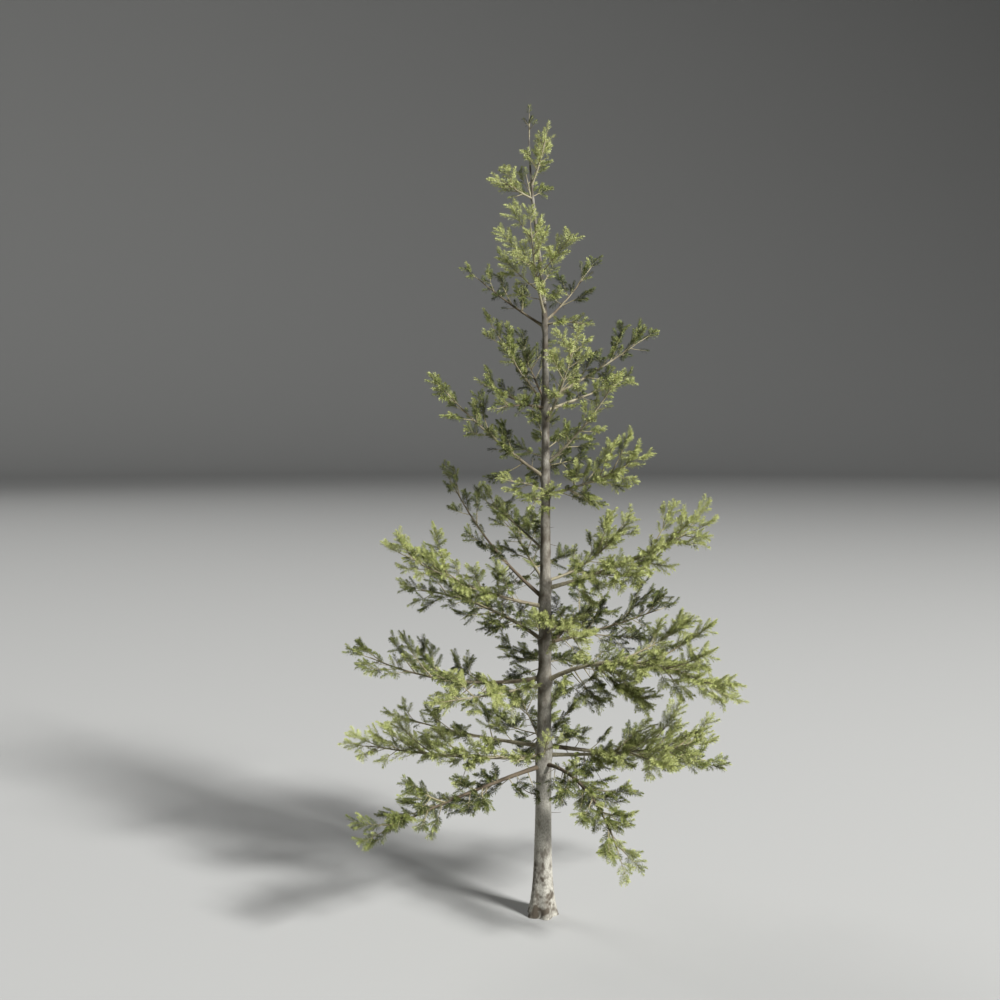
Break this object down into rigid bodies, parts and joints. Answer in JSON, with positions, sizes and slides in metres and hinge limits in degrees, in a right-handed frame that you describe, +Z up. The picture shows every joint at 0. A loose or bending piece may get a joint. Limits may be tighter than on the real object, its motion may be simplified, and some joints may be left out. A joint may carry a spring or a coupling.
{
  "type": "subalpine fir",
  "caption": "Young open-crowned conifer with a slender, slightly leaning trunk, bare-rooted boughs and separate sprays of needles, standing on a flat cut at ground level.",
  "frame": {"origin": "centre of the flat cut under the trunk, at ground level", "axes": "+Z up along the trunk; the tree is seen from -Y, with +X to the right"},
  "size_m": [2.0659, 1.6765, 4.2],
  "materials": {
    "trunk_bark": "rough grey bark with resin blisters",
    "bough_bark": "thin grey-brown bark",
    "needles": "matt olive-green needles"
  },
  "bodies": {
    "root": {"trunk": "trunk_bark", "bough_first_left": "bough_bark", "bough_first_left_front": "bough_bark", "bough_first_front_right": "bough_bark", "bough_first_right": "bough_bark", "bough_first_right_back": "bough_bark", "bough_first_back": "bough_bark", "bough_first_left_back": "bough_bark", "bough_second_right_front": "bough_bark", "bough_second_left": "bough_bark", "bough_second_back": "bough_bark", "bough_third_right": "bough_bark", "bough_third_left_back": "bough_bark", "bough_fourth_left": "bough_bark", "bough_fourth_left_back": "bough_bark", "bough_fourth_right": "bough_bark", "needles_first_left": "needles", "needles_first_left_front": "needles", "needles_first_front_right": "needles", "needles_first_right": "needles", "needles_first_right_back": "needles", "needles_first_back": "needles", "needles_first_left_back": "needles", "needles_first_front": "needles", "needles_first_front_shoot": "needles", "needles_second_right_front": "needles", "needles_second_left_front": "needles", "needles_second_left": "needles", "needles_second_back": "needles", "needles_third_back_right": "needles", "needles_third_right": "needles", "needles_third_front": "needles", "needles_third_left_back": "needles", "needles_fourth_left": "needles", "needles_fourth_left_back": "needles", "needles_fourth_right": "needles", "needles_fourth_right_upper": "needles", "needles_fourth_back": "needles", "needles_fourth_back_shoot": "needles", "needles_fifth_right": "needles", "needles_fifth_right_upper": "needles", "needles_fifth_left_front": "needles", "needles_fifth_front": "needles", "needles_fifth_left": "needles", "needles_fifth_back": "needles", "needles_sixth_right_front": "needles", "needles_sixth_right": "needles", "needles_sixth_right_back": "needles", "needles_sixth_left_upper": "needles", "needles_sixth_left": "needles", "needles_sixth_left_front": "needles", "needles_sixth_back": "needles", "needles_seventh_front": "needles", "needles_seventh_left_back": "needles", "needles_seventh_right_back": "needles", "needles_seventh_right_front": "needles", "needles_top_left": "needles", "needles_top_right": "needles", "needles_top_back": "needles", "needles_leader": "needles"}
  },
  "joints": []
}
